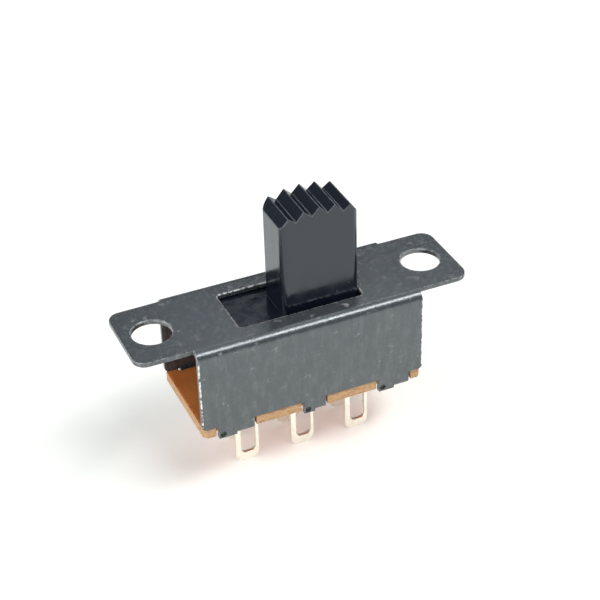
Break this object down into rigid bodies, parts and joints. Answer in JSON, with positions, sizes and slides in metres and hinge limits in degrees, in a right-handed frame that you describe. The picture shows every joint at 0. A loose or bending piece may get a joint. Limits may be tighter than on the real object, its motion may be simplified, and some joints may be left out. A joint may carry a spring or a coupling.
{
  "type": "slide switch",
  "caption": "Panel-mount slide switch: folded steel frame with two mounting ears, ridged black knob, phenolic terminal board and solder lugs.",
  "frame": {"origin": "on the mounting face, the top surface of the frame, midway between the two mounting holes", "axes": "+X along the switch, towards the end where the knob rests; +Y across it; +Z out of the mounting face, along the knob"},
  "size_m": [0.0348, 0.011, 0.0277],
  "materials": {
    "blackened_steel": "dark oxide finish on sheet steel, worn bright on the folds",
    "phenolic": "orange-brown phenolic laminate with pale fibrous cut edges",
    "black_plastic": "moulded black plastic, semi-gloss",
    "silvered_brass": "silver-plated brass",
    "contact_bronze": "phosphor bronze strip with silver buttons",
    "spring_steel": "plain spring wire"
  },
  "bodies": {
    "housing": {"frame": "blackened_steel", "terminal_board": "phenolic", "terminal_front_left": "silvered_brass", "terminal_front_middle": "silvered_brass", "terminal_front_right": "silvered_brass", "terminal_rear_left": "silvered_brass", "terminal_rear_middle": "silvered_brass", "terminal_rear_right": "silvered_brass"},
    "slider": {"slider": "black_plastic", "contact_front": "contact_bronze", "contact_rear": "contact_bronze", "contact_spring_front": "spring_steel", "contact_spring_rear": "spring_steel"}
  },
  "joints": [
    {"name": "slider_travel", "type": "slide", "parent": "housing", "child": "slider", "axis": [1, 0, 0], "range_m": [-0.0047, 0]}
  ]
}
